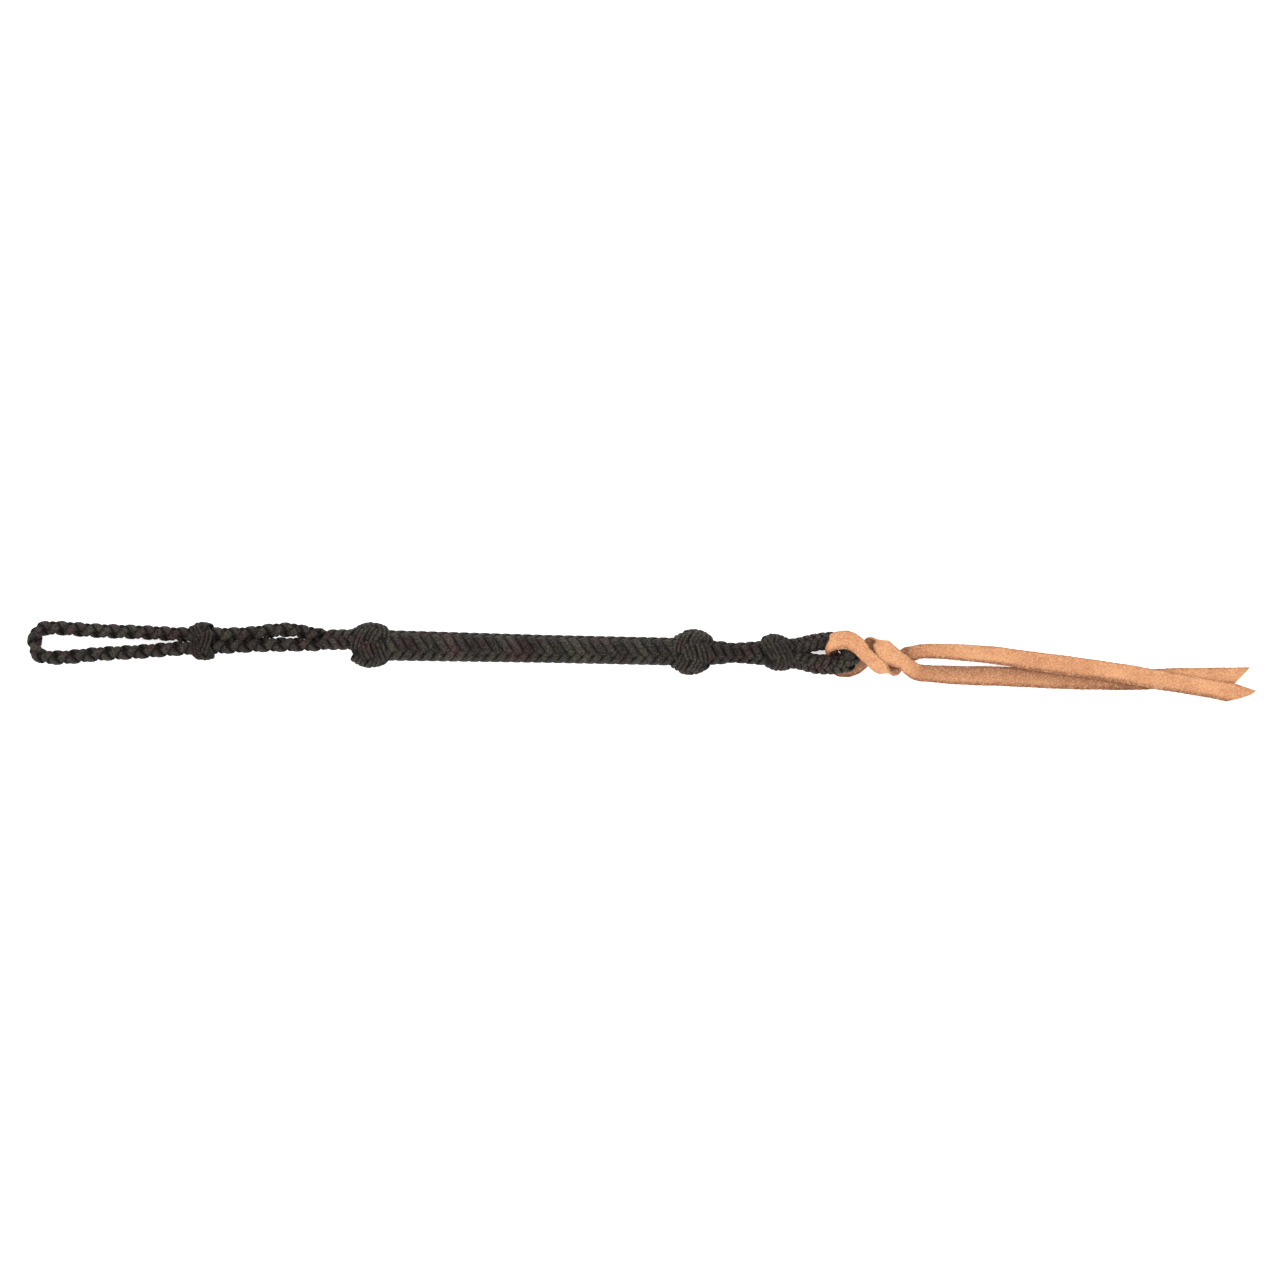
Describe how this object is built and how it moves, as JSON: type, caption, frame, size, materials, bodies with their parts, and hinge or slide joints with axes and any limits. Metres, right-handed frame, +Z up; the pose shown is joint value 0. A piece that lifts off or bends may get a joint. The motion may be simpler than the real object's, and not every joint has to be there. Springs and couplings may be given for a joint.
{
  "type": "riding quirt",
  "caption": "Short plaited quirt: firm corded grip between knots, wrist loop with a sliding keeper knot, and a leather popper with tails hitched into an eye.",
  "frame": {"origin": "middle of the overall box in X and Y, on the surface that the quirt lies on", "axes": "+X along the handle towards the popper's tips, +Z up, +Y to the left of +X"},
  "size_m": [0.762, 0.0392, 0.0288],
  "materials": {
    "black_cord": "satin nylon cord",
    "core_cord": "matte",
    "waxed_thread": "waxed",
    "padding_cord": "matte",
    "leather": "natural grain, matte",
    "leather_back": "flesh side, matte"
  },
  "bodies": {
    "handle": {"handle_core": "core_cord", "handle_braid": "black_cord", "heel_whipping": "waxed_thread", "heel_knot_foundation": "padding_cord", "heel_knot": "black_cord", "tip_whipping": "waxed_thread", "tip_knot_foundation": "padding_cord", "tip_knot": "black_cord"},
    "wrist_neck": {"wrist_neck_braid": "black_cord"},
    "wrist_loop": {"wrist_loop_braid": "black_cord"},
    "keeper": {"keeper_knot": "black_cord"},
    "lash": {"lash_neck_braid": "black_cord", "eye_whipping": "waxed_thread", "popper_knot_foundation": "padding_cord", "popper_knot": "black_cord", "popper_eye_braid": "black_cord"},
    "popper_fold": {"popper_fold": "leather"},
    "popper_hitch": {"popper_band_over": "leather", "popper_band_under": "leather"},
    "front_tail": {"popper_front_tail": "leather"},
    "back_tail": {"popper_back_tail": "leather_back"}
  },
  "joints": [
    {"name": "wrist_droop", "type": "hinge", "parent": "handle", "child": "wrist_neck", "pos_m": [-0.18755, 0.0073, 0.0144], "axis": [-0.033, 0.9995, 0], "range_deg": [-60, 60]},
    {"name": "wrist_sway", "type": "hinge", "parent": "wrist_neck", "child": "wrist_loop", "pos_m": [-0.20497, 0.00673, 0.01348], "axis": [-0.0527, -0.0017, 0.9986], "range_deg": [-45, 45]},
    {"name": "keeper_slide", "type": "slide", "parent": "wrist_loop", "child": "keeper", "axis": [0.9981, 0.0329, 0.0528], "range_m": [-0.012, 0.04]},
    {"name": "lash_droop", "type": "hinge", "parent": "handle", "child": "lash", "pos_m": [0.05195, 0.0044, 0.0144], "axis": [-0.015, 0.9999, 0], "range_deg": [-45, 45]},
    {"name": "popper_swing", "type": "hinge", "parent": "lash", "child": "popper_fold", "pos_m": [0.12349, 0.00547, 0.00907], "axis": [0.0742, 0.0011, 0.9972], "range_deg": [-35, 35]},
    {"name": "popper_lift", "type": "hinge", "parent": "popper_fold", "child": "popper_hitch", "pos_m": [0.13162, 0.0056, 0.00847], "axis": [-0.015, 0.9999, 0], "range_deg": [-75, 75]},
    {"name": "front_tail_flex", "type": "hinge", "parent": "popper_hitch", "child": "front_tail", "pos_m": [0.176, 0.0078, 0.004], "axis": [0, 1, 0], "range_deg": [-60, 0]},
    {"name": "back_tail_flex", "type": "hinge", "parent": "popper_hitch", "child": "back_tail", "pos_m": [0.176, -0.005, 0.0072], "axis": [0, 1, 0], "range_deg": [0, 60]}
  ]
}
